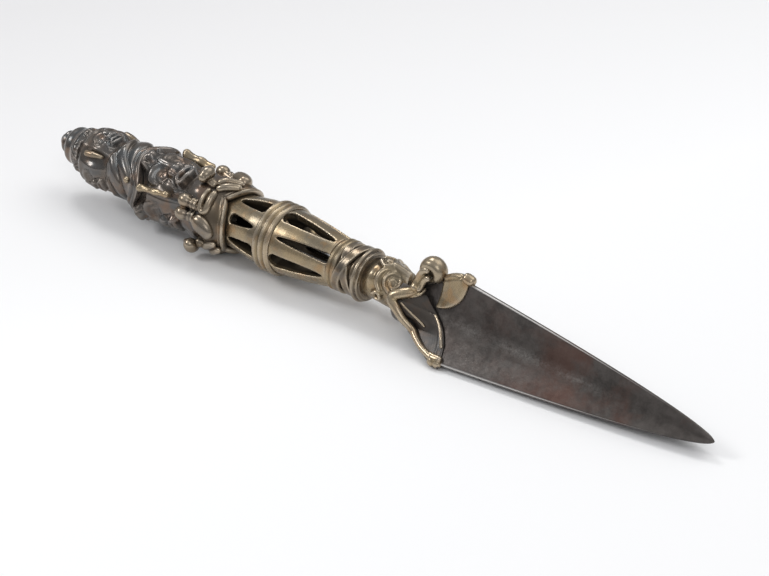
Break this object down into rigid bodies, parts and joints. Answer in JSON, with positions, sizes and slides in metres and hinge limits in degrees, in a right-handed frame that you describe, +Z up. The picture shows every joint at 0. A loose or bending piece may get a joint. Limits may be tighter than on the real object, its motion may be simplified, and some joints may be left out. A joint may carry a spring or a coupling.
{
  "type": "ritual dagger",
  "caption": "Three-finned ritual dagger lying on its side: iron blade in a sea-beast's jaws, openwork grip, limbs and tiers of fierce heads under a topknot.",
  "frame": {"origin": "middle of the outline on the surface that the dagger lies on", "axes": "+X from the finial towards the blade's tip, +Z up as it lies, with one fin up"},
  "size_m": [0.2398, 0.0285, 0.0274],
  "materials": {
    "dark_copper_alloy": "dark brown to black patina with worn high spots",
    "worn_copper_alloy": "golden-brown, rubbed smooth on the high spots, dark in the recesses",
    "forged_iron": "grey-brown and pitted, with rust-red patches"
  },
  "bodies": {
    "root": {"topknot": "dark_copper_alloy", "diadem": "dark_copper_alloy", "small_heads": "dark_copper_alloy", "small_ear_pendants": "dark_copper_alloy", "scarf": "dark_copper_alloy", "scarf_studs": "worn_copper_alloy", "hair_band": "dark_copper_alloy", "large_heads": "dark_copper_alloy", "ear_pendants": "worn_copper_alloy", "torso": "dark_copper_alloy", "arms": "worn_copper_alloy", "legs": "worn_copper_alloy", "petal_collar": "worn_copper_alloy", "cage": "worn_copper_alloy", "cage_band": "worn_copper_alloy", "neck_ring": "worn_copper_alloy", "knot_core": "worn_copper_alloy", "knot_straps": "worn_copper_alloy", "makara_head": "worn_copper_alloy", "rolled_lips": "worn_copper_alloy", "trunk_curl": "worn_copper_alloy", "lower_jaw": "dark_copper_alloy", "jaw_knobs": "worn_copper_alloy", "cheek_pads": "worn_copper_alloy", "blade": "forged_iron"}
  },
  "joints": []
}
